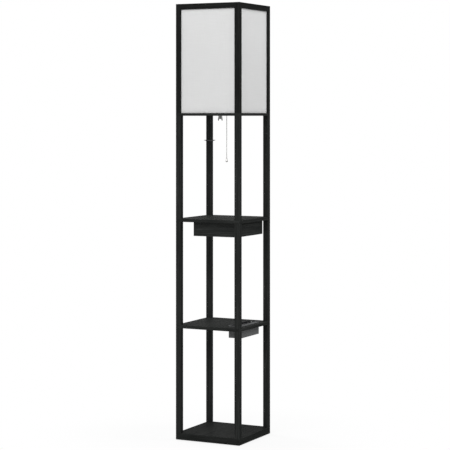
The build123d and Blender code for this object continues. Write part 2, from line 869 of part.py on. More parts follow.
# Beads on a wire, turned as one outline. A short link joins the last bead to the bell.
bead_radius = bead_diameter / 2
link_radius = link_diameter / 2
bead_half = math.sqrt(bead_radius**2 - link_radius**2)
first_bead = guide_bottom + chain_in_guide - bead_radius
bead_levels = [first_bead - number * bead_pitch for number in range(bead_count)]
bell_top = bead_levels[-1] - bead_pitch / 2
with BuildPart() as pull_chain:
    with BuildSketch(Plane(origin=(0, chain_y, 0), x_dir=(1, 0, 0), z_dir=(0, -1, 0))):
        with BuildLine():
            Line((0, first_bead + bead_half), (link_radius, first_bead + bead_half))
            for level in bead_levels:
                ThreePointArc(
                    (link_radius, level + bead_half),
                    (bead_radius, level),
                    (link_radius, level - bead_half),
                )
                link_end = max(level - bead_pitch + bead_half, bell_top)
                Line((link_radius, level - bead_half), (link_radius, link_end))
            Line((link_radius, bell_top), (0, bell_top))
            Line((0, bell_top), (0, first_bead + bead_half))
        make_face()
    revolve(axis=chain_axis)
save(pull_chain.part, "pull_chain")

with BuildPart() as pull_bell:
    with BuildSketch(Plane(origin=(0, chain_y, bell_top), x_dir=(1, 0, 0), z_dir=(0, -1, 0))):
        with BuildLine():
            Polyline((0, -bell_length), (0, 0), (bell_neck_radius, 0))
            Spline(
                (bell_neck_radius, 0),
                ((bell_neck_radius + bell_radius) / 2, -bell_length / 2),
                (bell_radius, -bell_length + 2),
            )
            Polyline(
                (bell_radius, -bell_length + 2),
                (bell_radius - 1, -bell_length),
                (0, -bell_length),
            )
        make_face()
    revolve(axis=chain_axis)
save(pull_bell.part, "pull_bell")

# ------------------------------------------------------------------ drawer
dowel_line = drawer_half - drawer_side_thickness / 2
bottom_low = drawer_low + drawer_bottom_raise
bottom_groove_height = drawer_bottom_thickness + slide_gap
pin_levels = [drawer_low + height for height in drawer_pin_heights]

with BuildPart() as drawer_front:
    block(
        (-drawer_half, drawer_front_face, drawer_low),
        (drawer_half, box_front, drawer_top),
    )
    chamfer(drawer_front.faces().sort_by(Axis.Y)[0].edges(), length=edge_ease)
    groove_half = box_half + bottom_groove_depth
    block(
        (-groove_half, box_front - bottom_groove_depth, bottom_low),
        (groove_half, box_front, bottom_low + bottom_groove_height),
        mode=Mode.SUBTRACT,
    )
    for side in (-1, 1):
        for level in pin_levels:
            hole(
                (side * dowel_line, box_front, level),
                (0, -1, 0),
                drawer_dowel_diameter / 2 + fit_gap,
                drawer_dowel_in_front + fit_gap,
            )
save(drawer_front.part, "drawer_front")

for name, side in (("left", -1), ("right", 1)):
    x_low, x_high = sorted((side * box_half, side * drawer_half))
    with BuildPart() as drawer_side:
        block((x_low, box_front, drawer_low), (x_high, box_rear, drawer_top))
        runner_x = sorted((side * box_half, side * (lip_tip + runner_side_gap)))
        block(
            (runner_x[0], box_front, runner_bottom - slide_gap),
            (runner_x[1], box_rear, lip_top + slide_gap),
            mode=Mode.SUBTRACT,
        )
        panel_x = sorted((side * box_half, side * (box_half + bottom_groove_depth)))
        block(
            (panel_x[0], box_front, bottom_low),
            (panel_x[1], box_rear, bottom_low + bottom_groove_height),
            mode=Mode.SUBTRACT,
        )
        for level in pin_levels:
            hole(
                (side * dowel_line, box_front, level),
                (0, 1, 0),
                drawer_dowel_diameter / 2 + fit_gap,
                drawer_dowel_length - drawer_dowel_in_front + fit_gap,
            )
            hole(
                (side * dowel_line, box_rear, level),
                (0, -1, 0),
                drawer_screw_diameter / 2 + fit_gap,
                drawer_screw_length - drawer_back_thickness + seat_gap,
            )
    save(drawer_side.part, f"drawer_side_{name}")

with BuildPart() as drawer_back:
    block((-drawer_half, box_rear, drawer_low), (drawer_half, drawer_rear_face, drawer_top))
    chamfer(drawer_back.faces().sort_by(Axis.Y)[-1].edges(), length=edge_ease)
    groove_half = box_half + bottom_groove_depth
    block(
        (-groove_half, box_rear, bottom_low),
        (groove_half, box_rear + back_groove_depth, bottom_low + bottom_groove_height),
        mode=Mode.SUBTRACT,
    )
    for side in (-1, 1):
        notch_x = sorted((side * (flange_inner - runner_side_gap), side * (lip_tip + runner_side_gap)))
        block(
            (notch_x[0], box_rear, runner_bottom - slide_gap),
            (notch_x[1], drawer_rear_face, drawer_top),
            mode=Mode.SUBTRACT,
        )
        for level in pin_levels:
            start = (side * dowel_line, drawer_rear_face, level)
            sink(start, (0, -1, 0), drawer_screw_diameter, drawer_screw_head, drawer_back_thickness)
save(drawer_back.part, "drawer_back")

with BuildPart() as drawer_bottom:
    panel_x = box_half + bottom_groove_depth - slide_gap
    block(
        (-panel_x, box_front - bottom_groove_depth + slide_gap, bottom_low),
        (panel_x, box_rear + back_groove_depth - slide_gap, bottom_low + drawer_bottom_thickness),
    )
save(drawer_bottom.part, "drawer_bottom")

with BuildPart() as drawer_dowels:
    for side in (-1, 1):
        for level in pin_levels:
            start = (side * dowel_line, box_front - drawer_dowel_in_front, level)
            pin(start, (0, 1, 0), drawer_dowel_diameter / 2, drawer_dowel_length)
save(drawer_dowels.part, "drawer_dowels")

drawer_screw = flat_screw(drawer_screw_diameter, drawer_screw_length, drawer_screw_head)
with BuildPart() as drawer_screws:
    for side in (-1, 1):
        for level in pin_levels:
            with Locations(Plane(origin=(side * dowel_line, drawer_rear_face, level), z_dir=(0, -1, 0))):
                add(drawer_screw)
save(drawer_screws.part, "drawer_screws")

# ------------------------------------------------------------------ drawer runners
# Each runner is screwed up under the shelf. Its lip runs in the groove inside the
# drawer's side, and a pin under its web stops the drawer's back.
stop_radius = stop_diameter / 2
stop_x = web_outer - stop_radius
stop_y = box_rear - drawer_travel - slide_gap - stop_radius
for name, side in (("left", -1), ("right", 1)):
    with BuildPart() as drawer_runner:
        with BuildSketch(Plane.XZ.offset(-runner_front)):
            with BuildLine():
                Polyline(
                    (side * flange_inner, drawer_shelf_bottom),
                    (side * flange_inner, flange_bottom),
                    (side * web_inner, flange_bottom),
                    (side * web_inner, runner_bottom),
                    (side * lip_tip, runner_bottom),
                    (side * lip_tip, lip_top),
                    (side * web_outer, lip_top),
                    (side * web_outer, drawer_shelf_bottom),
                    close=True,
                )
            make_face()
        extrude(amount=-(runner_rear - runner_front))
        for x, y in runner_screw_spots:
            if x * side > 0:
                start = (x, y, flange_bottom)
                sink(start, (0, 0, 1), runner_screw_diameter, runner_screw_head, runner_flange_thickness)
        stop_bore = stop_pin_diameter / 2 + fit_gap
        hole((side * stop_x, stop_y, runner_bottom), (0, 0, 1), stop_bore, stop_hold + fit_gap)
    save(drawer_runner.part, f"drawer_runner_{name}")

runner_screw = flat_screw(runner_screw_diameter, runner_screw_length, runner_screw_head)
with BuildPart() as runner_screws:
    for x, y in runner_screw_spots:
        with Locations((x, y, flange_bottom)):
            add(runner_screw)
save(runner_screws.part, "runner_screws")

with BuildPart() as drawer_stops:
    for side in (-1, 1):
        start = (side * stop_x, stop_y, runner_bottom + stop_hold)
        pin(start, (0, 0, -1), stop_pin_diameter / 2, stop_hold)
        pin((side * stop_x, stop_y, runner_bottom), (0, 0, -1), stop_radius, stop_drop)
save(drawer_stops.part, "drawer_stops")

# ------------------------------------------------------------------ charging station
plate_top = plate_bottom + plate_thickness
boss_x = station_width / 2 - boss_inset
board_x = (usb_x[0] + usb_x[1]) / 2
usb_bottom = plate_top - seat_gap - usb_depth
board_bottom = usb_bottom - board_thickness
housing_floor = station_bottom + station_wall
standoff_x = board_width / 2 - standoff_inset
standoff_y = board_depth / 2 - standoff_inset
standoff_spots = [
    (board_x + x * standoff_x, station_middle + y * standoff_y) for x, y in corners
]
grommet_level = station_bottom + grommet_raise

with BuildPart() as station_housing:
    with BuildSketch(Plane((0, station_middle, station_bottom))):
        RectangleRounded(station_width, station_depth, station_corner)
    extrude(amount=station_drop)
    fillet(station_housing.faces().sort_by(Axis.Z)[0].edges(), radius=station_edge)
    with BuildSketch(Plane((0, station_middle, housing_floor))):
        RectangleRounded(
            station_width - 2 * station_wall,
            station_depth - 2 * station_wall,
            station_corner - station_wall,
        )
    extrude(amount=station_drop, mode=Mode.SUBTRACT)
    for side in (-1, 1):
        boss_start = (side * boss_x, station_middle, housing_floor)
        pin(boss_start, (0, 0, 1), boss_diameter / 2, plate_bottom - housing_floor)
    for spot in standoff_spots:
        pin((*spot, housing_floor), (0, 0, 1), standoff_diameter / 2, board_bottom - housing_floor)
    for side in (-1, 1):
        start = (side * boss_x, station_middle, plate_bottom)
        depth = plate_screw_length - plate_thickness + seat_gap
        hole(start, (0, 0, -1), plate_screw_diameter / 2 + fit_gap, depth)
    hole((grommet_x, station_rear, grommet_level), (0, -1, 0), bushing_neck / 2 + fit_gap, 2 * station_wall)
save(station_housing.part, "station_housing")

with BuildPart() as face_plate:
    with BuildSketch(Plane((0, station_middle, plate_bottom))):
        RectangleRounded(plate_width, plate_depth, plate_corner)
    extrude(amount=plate_thickness)
    fillet(face_plate.faces().sort_by(Axis.Z)[-1].edges(), radius=plate_edge)
    skirt_width = cutout_width - 2 * skirt_gap
    skirt_across = cutout_depth - 2 * skirt_gap
    skirt_corner = station_corner - skirt_gap
    with BuildSketch(Plane((0, station_middle, plate_bottom))):
        RectangleRounded(skirt_width, skirt_across, skirt_corner)
        RectangleRounded(
            skirt_width - 2 * skirt_wall,
            skirt_across - 2 * skirt_wall,
            skirt_corner - skirt_wall,
            mode=Mode.SUBTRACT,
        )
    extrude(amount=-skirt_depth)
    with BuildSketch(Plane((0, station_middle, plate_bottom))):
        with Locations((outlet_x, 0)):
            RectangleRounded(
                outlet_width + 2 * aperture_gap,
                outlet_depth + 2 * aperture_gap,
                outlet_corner + aperture_gap,
            )
        for x in usb_x:
            with Locations((x, 0)):
                Rectangle(usb_width + 2 * aperture_gap, usb_height + 2 * aperture_gap)
    extrude(amount=plate_thickness, mode=Mode.SUBTRACT)
    for side in (-1, 1):
        start = (side * boss_x, station_middle, plate_top)
        sink(start, (0, 0, -1), plate_screw_diameter, plate_screw_head, plate_thickness)
save(face_plate.part, "face_plate")

plate_screw = flat_screw(plate_screw_diameter, plate_screw_length, plate_screw_head)
with BuildPart() as plate_screws:
    for side in (-1, 1):
        with Locations(Plane(origin=(side * boss_x, station_middle, plate_top), z_dir=(0, 0, -1))):
            add(plate_screw)
save(plate_screws.part, "plate_screws")

outlet_top = plate_top + outlet_proud
with BuildPart() as outlet_insert:
    with BuildSketch(Plane((outlet_x, station_middle, outlet_top))):
        RectangleRounded(outlet_width, outlet_depth, outlet_corner)
    extrude(amount=-outlet_body)
    fillet(outlet_insert.faces().sort_by(Axis.Z)[-1].edges(), radius=plate_edge)
    with BuildSketch(Plane((outlet_x, station_middle, plate_bottom))):
        RectangleRounded(
            outlet_width + 2 * outlet_flange, outlet_depth + 2 * outlet_flange, outlet_corner
        )
    extrude(amount=-outlet_flange_thickness)
    with BuildSketch(Plane((outlet_x, station_middle, outlet_top))):
        with Locations((-blade_pitch / 2, blade_offset)):
            Rectangle(blade_width, neutral_blade_length)
        with Locations((blade_pitch / 2, blade_offset)):
            Rectangle(blade_width, hot_blade_length)
        with Locations((0, ground_offset)):
            Circle(ground_radius)
        with Locations((0, ground_offset + ground_radius / 2)):
            Rectangle(2 * ground_radius, ground_radius)
    extrude(amount=-outlet_slot_depth, mode=Mode.SUBTRACT)
save(outlet_insert.part, "outlet_insert")

with BuildPart() as circuit_board:
    block(
        (board_x - board_width / 2, station_middle - board_depth / 2, board_bottom),
        (board_x + board_width / 2, station_middle + board_depth / 2, usb_bottom),
    )
save(circuit_board.part, "circuit_board")

with BuildPart() as usb_shells:
    for x in usb_x:
        with BuildSketch(Plane((x, station_middle, usb_bottom))):
            Rectangle(usb_width, usb_height)
            Rectangle(usb_width - 2 * usb_wall, usb_height - 2 * usb_wall, mode=Mode.SUBTRACT)
        extrude(amount=usb_depth)
save(usb_shells.part, "usb_shells")

with BuildPart() as usb_tongues:
    for x in usb_x:
        low = (x - usb_tongue_width / 2, station_middle, usb_bottom)
        tongue_top = plate_top - usb_tongue_sink
        block(low, (x + usb_tongue_width / 2, station_middle + usb_tongue_thickness, tongue_top))
save(usb_tongues.part, "usb_tongues")

# A flanged rubber grommet grips the housing's rear wall round the cord's hole.
grommet_inside = station_rear - station_wall
grommet_rings = (
    (grommet_inside - bushing_flange_thickness, bushing_flange, bushing_flange_thickness),
    (grommet_inside, bushing_neck, station_wall),
    (station_rear, bushing_flange, bushing_flange_thickness),
)
with BuildPart() as station_grommet:
    for level, diameter, length in grommet_rings:
        with BuildSketch(Plane(origin=(grommet_x, level, grommet_level), z_dir=(0, 1, 0))):
            Circle(diameter / 2)
            Circle(bushing_bore / 2, mode=Mode.SUBTRACT)
        extrude(amount=length)
save(station_grommet.part, "station_grommet")

# ------------------------------------------------------------------ cord cleat
# A thin plastic angle stuck in the rear right corner, with a tapered prong at each end.
cleat_top = ring_top - cleat_drop
cleat_low = cleat_top - cleat_height
cleat_face = post_face - cleat_band
tip_low = cleat_top - cleat_tip
prongs = (
    (Plane.XZ.offset(-frame_edge), cleat_band, cleat_long_prong),
    (Plane.YZ.offset(frame_edge), -cleat_band, cleat_short_prong),
)
with BuildPart() as cord_cleat:
    block((cleat_face, cleat_face, cleat_low), (post_face, frame_edge, cleat_top))
    block((post_face, cleat_face, cleat_low), (frame_edge, post_face, cleat_top))
    for plane, thickness, length in prongs:
        with BuildSketch(plane):
            with BuildLine():
                Polyline(
                    (cleat_face, cleat_low),
                    (cleat_face, cleat_top + cleat_flare),
                    (post_face - length, tip_low + cleat_tip),
                    (post_face - length, tip_low),
                    close=True,
                )
            make_face()
        extrude(amount=thickness)
save(cord_cleat.part, "cord_cleat")
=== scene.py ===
import math

import bmesh
import bpy
from mathutils import Matrix, Vector


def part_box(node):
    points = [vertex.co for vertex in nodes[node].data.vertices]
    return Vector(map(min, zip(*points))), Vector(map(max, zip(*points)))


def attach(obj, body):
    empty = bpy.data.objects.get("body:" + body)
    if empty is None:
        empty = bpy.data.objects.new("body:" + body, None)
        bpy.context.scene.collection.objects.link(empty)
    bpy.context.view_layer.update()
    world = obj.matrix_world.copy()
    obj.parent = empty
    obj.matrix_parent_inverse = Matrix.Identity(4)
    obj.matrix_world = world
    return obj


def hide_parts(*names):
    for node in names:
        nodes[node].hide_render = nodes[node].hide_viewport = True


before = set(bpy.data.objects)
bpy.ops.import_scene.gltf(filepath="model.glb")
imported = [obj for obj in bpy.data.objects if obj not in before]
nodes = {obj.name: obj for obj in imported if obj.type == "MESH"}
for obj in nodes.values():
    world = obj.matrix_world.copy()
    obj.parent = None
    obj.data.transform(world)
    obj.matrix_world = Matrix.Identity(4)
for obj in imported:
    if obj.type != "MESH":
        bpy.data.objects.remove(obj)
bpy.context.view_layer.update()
scene = bpy.context.scene

# ------------------------------------------------------------------ camera
# A long lens looks level from six metres, three quarters of the way up the lamp, mostly at
# the left-hand face and past its corner at the front one.
camera_data = bpy.data.cameras.new("camera")
camera = bpy.data.objects.new("camera", camera_data)
scene.collection.objects.link(camera)
camera.location = (-5.3416, -2.7137, 1.1852)
camera.rotation_euler = (math.pi / 2, 0, math.radians(-63.123))
camera_data.sensor_width = 36
camera_data.lens = 129.3
camera_data.shift_y = -0.23976
camera_data.clip_end = 60
scene.camera = camera

# ------------------------------------------------------------------ studio
# A white surround with a pale floor. One broad soft lamp stands high on the left, and two
# weaker ones fill in from the front and from high up at the back.
scene.view_settings.view_transform = "Standard"


def put(tree, kind, settings=(), **sockets):
    """Adds a shader node. A socket's value is a number, a vector or the output wired into it."""
    made = tree.nodes.new(kind)
    for key, value in dict(settings).items():
        setattr(made, key, value)
    for key, value in sockets.items():
        numbered = key[1:].isdigit()
        socket = made.inputs[int(key[1:]) if numbered else key.replace("_", " ")]
        if isinstance(value, bpy.types.NodeSocket):
            tree.links.new(value, socket)
        else:
            socket.default_value = value
    return made


def reckon(tree, operation, *values, kind="ShaderNodeMath"):
    """What one maths node works out at each point: a number, or a vector with a vector kind."""
    sockets = {f"_{place}": value for place, value in enumerate(values)}
    return put(tree, kind, {"operation": operation}, **sockets).outputs[0]


studio = bpy.data.worlds.new("studio")
scene.world = studio
studio.use_nodes = True
air = studio.node_tree
air.nodes.clear()
ray = put(air, "ShaderNodeLightPath").outputs
lit_air = put(air, "ShaderNodeBackground", Color=(0.98, 0.99, 1.0, 1), Strength=0.46)
white_air = put(air, "ShaderNodeBackground", Color=(1, 1, 1, 1), Strength=1.0)
seen_or_glossy = reckon(air, "MAXIMUM", ray["Is Camera Ray"], ray["Is Glossy Ray"])
seen_at_all = reckon(air, "MAXIMUM", seen_or_glossy, ray["Is Transmission Ray"])
air_mix = put(
    air, "ShaderNodeMixShader", _0=seen_at_all, _1=lit_air.outputs[0], _2=white_air.outputs[0]
)
put(air, "ShaderNodeOutputWorld", Surface=air_mix.outputs[0])

floor_mesh = bpy.data.meshes.new("floor")
floor_shape = bmesh.new()
bmesh.ops.create_circle(floor_shape, cap_ends=True, radius=7.0, segments=96)
floor_shape.to_mesh(floor_mesh)
floor_shape.free()
floor = bpy.data.objects.new("floor", floor_mesh)
floor.location.z = -0.0004
scene.collection.objects.link(floor)
floor_finish = bpy.data.materials.new("pale_floor")
floor_finish.use_nodes = True
ground = floor_finish.node_tree
ground.nodes.clear()
pale = put(ground, "ShaderNodeBsdfDiffuse", Color=(0.86, 0.86, 0.86, 1))
white = put(ground, "ShaderNodeEmission", Color=(1, 1, 1, 1))
seen = put(ground, "ShaderNodeLightPath").outputs["Is Camera Ray"]
ground_place = put(ground, "ShaderNodeTexCoord").outputs["Object"]
from_lamp = put(ground, "ShaderNodeVectorMath", {"operation": "LENGTH"}, _0=ground_place)
ground_fade = put(
    ground,
    "ShaderNodeMapRange",
    {"interpolation_type": "SMOOTHSTEP"},
    Value=from_lamp.outputs["Value"],
    From_Min=0.16,
    From_Max=0.75,
    To_Min=0.86,
    To_Max=1.0,
)
white_share = reckon(ground, "MULTIPLY", seen, ground_fade.outputs["Result"])
ground_mix = put(
    ground, "ShaderNodeMixShader", _0=white_share, _1=pale.outputs[0], _2=white.outputs[0]
)
put(ground, "ShaderNodeOutputMaterial", Surface=ground_mix.outputs[0])
floor_mesh.materials.append(floor_finish)


def soft_lamp(name, place, aim, size, power):
    """A square soft box, aimed at a point."""
    lamp_data = bpy.data.lights.new(name, "AREA")
    lamp_data.size = size
    lamp_data.energy = power
    lamp = bpy.data.objects.new(name, lamp_data)
    scene.collection.objects.link(lamp)
    lamp.location = place
    lamp.rotation_euler = (Vector(aim) - Vector(place)).to_track_quat("-Z", "Y").to_euler()


soft_lamp("key_lamp", place=(-4.2, -0.2, 3.2), aim=(0, 0, 0.9), size=2.4, power=125)
soft_lamp("front_lamp", place=(0.8, -2.9, 3.1), aim=(0, 0, 1.2), size=2.0, power=60)
soft_lamp("top_lamp", place=(0.6, 2.2, 3.9), aim=(0, 0, 1.4), size=1.2, power=44)


# ------------------------------------------------------------------ pull chain
# A bright nickel ball chain hangs out of the socket's guide: hollow balls threaded on short
# wire links, with a turned bell as its handle. It is limp, and the bell keeps it straight.
def new_finish(name):
    """A new material, with its node tree and its main shader."""
    finish = bpy.data.materials.new(name)
    finish.use_nodes = True
    return finish, finish.node_tree, finish.node_tree.nodes["Principled BSDF"]


def stretched_noise(tree, stretch, detail=4.0, roughness=0.55, distortion=0.0):
    """Noise in the lamp's own frame, with so many features to the metre along each axis."""
    place = put(tree, "ShaderNodeTexCoord").outputs["Object"]
    noise = put(
        tree,
        "ShaderNodeTexNoise",
        Vector=put(tree, "ShaderNodeMapping", Vector=place, Scale=stretch).outputs["Vector"],
        Scale=1.0,
        Detail=detail,
        Roughness=roughness,
        Distortion=distortion,
    )
    return noise.outputs["Fac"]


def shades(tree, factor, *stops):
    """A colour ramp over stops of (position, colour or grey level)."""
    ramp = put(tree, "ShaderNodeValToRGB", Fac=factor)
    marks = ramp.color_ramp.elements
    while len(marks) < len(stops):
        marks.new(0.5)
    for mark, (position, colour) in zip(marks, stops):
        mark.position = position
        mark.color = (*([colour] * 3 if isinstance(colour, float) else colour), 1)
    return ramp.outputs["Color"]


def relief(tree, shader, height, depth, strength=1.0):
    """Raises the surface by a height pattern, depth metres at most."""
    bump = put(tree, "ShaderNodeBump", Height=height, Distance=depth, Strength=strength)
    tree.links.new(bump.outputs["Normal"], shader.inputs["Normal"])


def plated_metal(name, colour, roughness, stretch=(900, 900, 900), depth=0.00001):
    """Plated or bare metal with fine marks left by its making."""
    finish, tree, shader = new_finish(name)
    marks = stretched_noise(tree, stretch, detail=5.0, roughness=0.6)
    stains = stretched_noise(tree, (60, 60, 60), detail=3.0)
    darker = [channel * 0.86 for channel in colour]
    tree.links.new(shades(tree, stains, (0.3, darker), (0.7, colour)), shader.inputs["Base Color"])
    rough = shades(tree, marks, (0.25, roughness * 0.8), (0.75, min(1.0, roughness * 1.3)))
    tree.links.new(rough, shader.inputs["Roughness"])
    shader.inputs["Metallic"].default_value = 1.0
    relief(tree, shader, marks, depth)
    return finish


def turned(profile, sides):
    """Points and faces of a shape turned about Z, from (radius, height) pairs."""
    points, faces, rings = [], [], []
    for radius, height in profile:
        count = sides if radius > 0 else 1
        rings.append(range(len(points), len(points) + count))
        for step in range(count):
            turn = 2 * math.pi * step / sides
            points.append(Vector((radius * math.cos(turn), radius * math.sin(turn), height)))
    for lower, upper in zip(rings, rings[1:]):
        for step in range(sides):
            after = (step + 1) % sides
            corners = (
                lower[step % len(lower)],
                lower[after % len(lower)],
                upper[after % len(upper)],
                upper[step % len(upper)],
            )
            face = list(dict.fromkeys(corners))
            if len(face) > 2:
                faces.append(face)
    return points, faces


def moved(shape, by):
    """A shape's points and faces, moved by a vector."""
    points, faces = shape
    return [point + by for point in points], faces


def make_piece(name, shapes, finish, body, stands_for=(), crease=35):
    """One piece of the lamp from lists of points and faces, smooth but for its real edges."""
    mesh = bpy.data.meshes.new(name)
    points, faces = [], []
    for shape_points, shape_faces in shapes:
        start = len(points)
        points += [tuple(point) for point in shape_points]
        faces += [[start + corner for corner in face] for face in shape_faces]
    mesh.from_pydata(points, [], faces)
    joined = bmesh.new()
    joined.from_mesh(mesh)
    bmesh.ops.remove_doubles(joined, verts=joined.verts, dist=1e-6)
    bmesh.ops.recalc_face_normals(joined, faces=joined.faces)
    joined.to_mesh(mesh)
    joined.free()
    mesh.shade_smooth()
    mesh.set_sharp_from_angle(angle=math.radians(crease))
    mesh.materials.append(finish)
    piece = bpy.data.objects.new(name, mesh)
    scene.collection.objects.link(piece)
    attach(piece, body)
    if stands_for:
        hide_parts(*stands_for)
    return piece


nickel = plated_metal("bright_nickel", (0.36, 0.355, 0.345), 0.24, stretch=(1400, 1400, 1400))
chain_low, chain_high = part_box("pull_chain")
chain_y = (chain_low.y + chain_high.y) / 2
ball_radius = (chain_high.x - chain_low.x) / 2
ball_pitch = 0.0042
ball_count = 43
ball_tilts = (62, 42, 21, 0, -21, -42, -62)  # rings of points on a ball, in degrees
link_radius = 0.00055
ball_half = math.sqrt(ball_radius**2 - link_radius**2)  # from a ball's middle to its link
top_ball = chain_high.z - ball_half
chain_top = top_ball + ball_radius
ball_profile = [(0.0, chain_top)]
for number in range(ball_count):
    middle = top_ball - number * ball_pitch
    for tilt in ball_tilts:
        reach = ball_radius * math.cos(math.radians(tilt))
        ball_profile.append((reach, middle + ball_radius * math.sin(math.radians(tilt))))
    link_end = max(middle - ball_pitch + ball_half, chain_low.z)
    ball_profile += [(link_radius, middle - ball_half), (link_radius, link_end)]
ball_profile.append((0.0, chain_low.z))

bell_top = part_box("pull_bell")[1].z
bell_profile = [
    # radius, height from the bell's top
    (0.0, 0.0),
    (0.0015, 0.0),
    (0.0018, -0.0004),
    (0.0018, -0.0016),
    (0.0014, -0.0020),
    (0.0017, -0.0026),
    (0.0023, -0.0060),
    (0.0029, -0.0095),
    (0.0036, -0.0130),
    (0.0041, -0.0152),
    (0.0042, -0.0164),
    (0.0040, -0.0170),
    (0.0035, -0.0176),
    (0.0028, -0.0180),
    (0.0, -0.0180),
]
bell = make_piece(
    "bell",
    [moved(turned(bell_profile, sides=32), Vector((0, chain_y, bell_top)))],
    nickel,
    body="chain",
    stands_for=["pull_bell"],
)
ball_chain = make_piece(
    "ball_chain",
    [moved(turned(ball_profile, sides=14), Vector((0, chain_y, 0)))],
    nickel,
    body="chain",
    stands_for=["pull_chain"],
    crease=80,
)


# ------------------------------------------------------------------ base, posts and shelves
# Wooden boards and square posts, wrapped in a matt black foil that is printed and embossed with
# a straight grain: upright on the posts, from side to side on the boards. Threaded studs through
# the shelves' corners join the posts, which stand in shallow seats in the boards.
def sizes_along(tree, vector):
    """How far a vector goes along X, Y and Z, either way."""
    either_way = reckon(tree, "ABSOLUTE", vector, kind="ShaderNodeVectorMath")
    return put(tree, "ShaderNodeSeparateXYZ", Vector=either_way).outputs


def blend_tones(tree, share, first, second, way="MIX"):
    """One tone laid over another."""
    settings = {"data_type": "RGBA", "blend_type": way}
    return put(tree, "ShaderNodeMix", settings, _0=share, _6=first, _7=second).outputs[2]


def black_foil(name, along, ends, between=0.0, lightness=1.0):
    """Black foil with its grain along axis 0, 1 or 2, and along another on the pieces' ends.

    Pieces that lie within a distance of the middle, along Y, have the ends' grain all over.
    """
    finish, tree, shader = new_finish(name)
    inks = ((0.0126, 0.0134, 0.0129), (0.0210, 0.0221, 0.0212), (0.0330, 0.0343, 0.0330))
    darkest, usual, lightest = ([channel * lightness for channel in ink] for ink in inks)
    # A lighter colour for the rounded edges: a painted highlight.
    painted_edge_highlight = [channel * lightness for channel in (0.060, 0.061, 0.059)]
    facing = sizes_along(tree, put(tree, "ShaderNodeNewGeometry").outputs["True Normal"])
    from_middle = sizes_along(tree, put(tree, "ShaderNodeTexCoord").outputs["Object"])
    # An end is where a face looks along the grain.
    at_end = reckon(tree, "GREATER_THAN", facing[along], 0.7)
    within = reckon(tree, "LESS_THAN", from_middle[1], between)
    other_way = reckon(tree, "MAXIMUM", at_end, within)

    def grain(across, lengthways):
        """How many features to the metre the grain has along each axis."""
        stretches = []
        for axis in (along, ends):
            stretches.append([across] * 3)
            stretches[-1][axis] = lengthways
        both = put(
            tree,
            "ShaderNodeMix",
            {"data_type": "VECTOR"},
            _0=other_way,
            _4=stretches[0],
            _5=stretches[1],
        )
        return both.outputs[1]

    broad = grain(across=170, lengthways=5)
    figure = stretched_noise(tree, broad, detail=5.0, roughness=0.6, distortion=0.4)
    fine = grain(across=1300, lengthways=26)
    pores = stretched_noise(tree, fine, detail=3.0, roughness=0.6)
    cloud = stretched_noise(tree, (7, 7, 7), detail=2.0)
    dark = shades(tree, figure, (0.30, darkest), (0.55, usual), (0.72, lightest))
    in_pores = shades(tree, pores, (0.36, (0.42, 0.43, 0.42)), (0.56, (1.15, 1.15, 1.15)))
    printed = blend_tones(tree, 0.6, dark, in_pores, "MULTIPLY")
    # An edge is where a face looks along none of the three axes.
    straightest = reckon(tree, "MAXIMUM", reckon(tree, "MAXIMUM", facing[0], facing[1]), facing[2])
    on_edge = put(tree, "ShaderNodeMapRange", Value=straightest, From_Min=0.99, From_Max=0.80)
    # The rounded edges are painted lighter in blotches: a painted highlight along them.
    highlight_blotch_noise = stretched_noise(tree, (40, 40, 40), detail=3.0, roughness=0.6)
    highlight_blotches = shades(tree, highlight_blotch_noise, (0.40, 0.15), (0.66, 0.6))
    edge_highlight_share = reckon(tree, "MULTIPLY", on_edge.outputs[0], highlight_blotches)
    tone = blend_tones(tree, edge_highlight_share, printed, (*painted_edge_highlight, 1))
    tree.links.new(tone, shader.inputs["Base Color"])
    tree.links.new(shades(tree, cloud, (0.3, 0.50), (0.7, 0.62)), shader.inputs["Roughness"])
    shader.inputs["Specular IOR Level"].default_value = 0.004
    relief(tree, shader, pores, depth=0.00006, strength=0.8)
    return finish


def dress(names, finish):
    """Gives each named piece its finish."""
    for name in names.split():
        nodes[name].material_slots[0].material = finish


# The base's foil is a darker copy of the shelves' foil: painted shade.
base_painted_shade = 0.85  # the lightness of the base's foil, as a share of the shelves'
foil_up = black_foil("black_foil_up", along=2, ends=0)
foil_across = black_foil("black_foil_across", along=0, ends=1)
foil_back = black_foil("black_foil_back", along=1, ends=0)
dress("lower_posts middle_posts upper_posts", foil_up)
dress("charging_shelf drawer_shelf", foil_across)
dress("base_board", black_foil("black_foil_base_painted_shade", along=0, ends=1, lightness=base_painted_shade))


# Pressed felt pads under the base, and the countersunk bolts that come up into the posts. The
# zinc-plated studs and turned brass inserts inside the posts' ends never show.
def moulded(name, colour, roughness, texture, depth, specular=0.5):
    """Plastic, rubber, felt or paint, with a texture so many metres wide and deep."""
    finish, tree, shader = new_finish(name)
    fine = stretched_noise(tree, [1 / texture] * 3, detail=3.0, roughness=0.6)
    broad = stretched_noise(tree, [35] * 3, detail=2.0)
    lighter = [min(1.0, channel * 1.12) for channel in colour]
    darker = [channel * 0.9 for channel in colour]
    tree.links.new(shades(tree, fine, (0.3, darker), (0.7, lighter)), shader.inputs["Base Color"])
    rough = shades(tree, broad, (0.3, roughness - 0.04), (0.7, min(1.0, roughness + 0.05)))
    tree.links.new(rough, shader.inputs["Roughness"])
    shader.inputs["Specular IOR Level"].default_value = specular
    relief(tree, shader, fine, depth)
    return finish


felt = moulded(
    "pressed_felt", (0.075, 0.074, 0.072), 0.95, texture=0.0004, depth=0.0003, specular=0.1
)
zinc = plated_metal("zinc_plate", (0.60, 0.61, 0.61), 0.34, stretch=(500, 500, 500))
brass = plated_metal("turned_brass", (0.76, 0.58, 0.29), 0.27, stretch=(300, 300, 1500))
dress("foot_pads", felt)
dress("joint_studs", zinc)
dress("post_inserts", brass)


